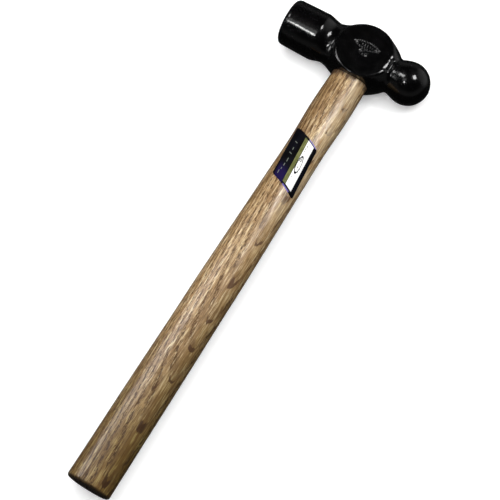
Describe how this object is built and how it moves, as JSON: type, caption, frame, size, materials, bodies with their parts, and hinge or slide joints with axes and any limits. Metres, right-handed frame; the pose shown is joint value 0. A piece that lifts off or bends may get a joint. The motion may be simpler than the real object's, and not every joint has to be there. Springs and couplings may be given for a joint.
{
  "type": "ball peen hammer",
  "caption": "Ball peen hammer: a black-painted forged head with a round flat poll, round flat cheeks and a ball, wedged on a straight oval oak handle with a slanted label.",
  "frame": {"origin": "centre of the lower cheek's flat face, straight under the middle of the eye", "axes": "X along the head, -X to the striking face and +X to the ball; -Y along the handle to its butt, +Y out of the eye's upper mouth; +Z from the lower cheek to the upper cheek"},
  "size_m": [0.0996, 0.3308, 0.0314],
  "materials": {
    "head_paint": "gloss",
    "oak": "satin",
    "wedge_wood": "matte",
    "wedge_steel": "satin",
    "label_film": "gloss"
  },
  "bodies": {
    "root": {"hammer_head": "head_paint", "handle": "oak", "wooden_wedge": "wedge_wood", "steel_wedges": "wedge_steel", "label": "label_film"}
  },
  "joints": []
}
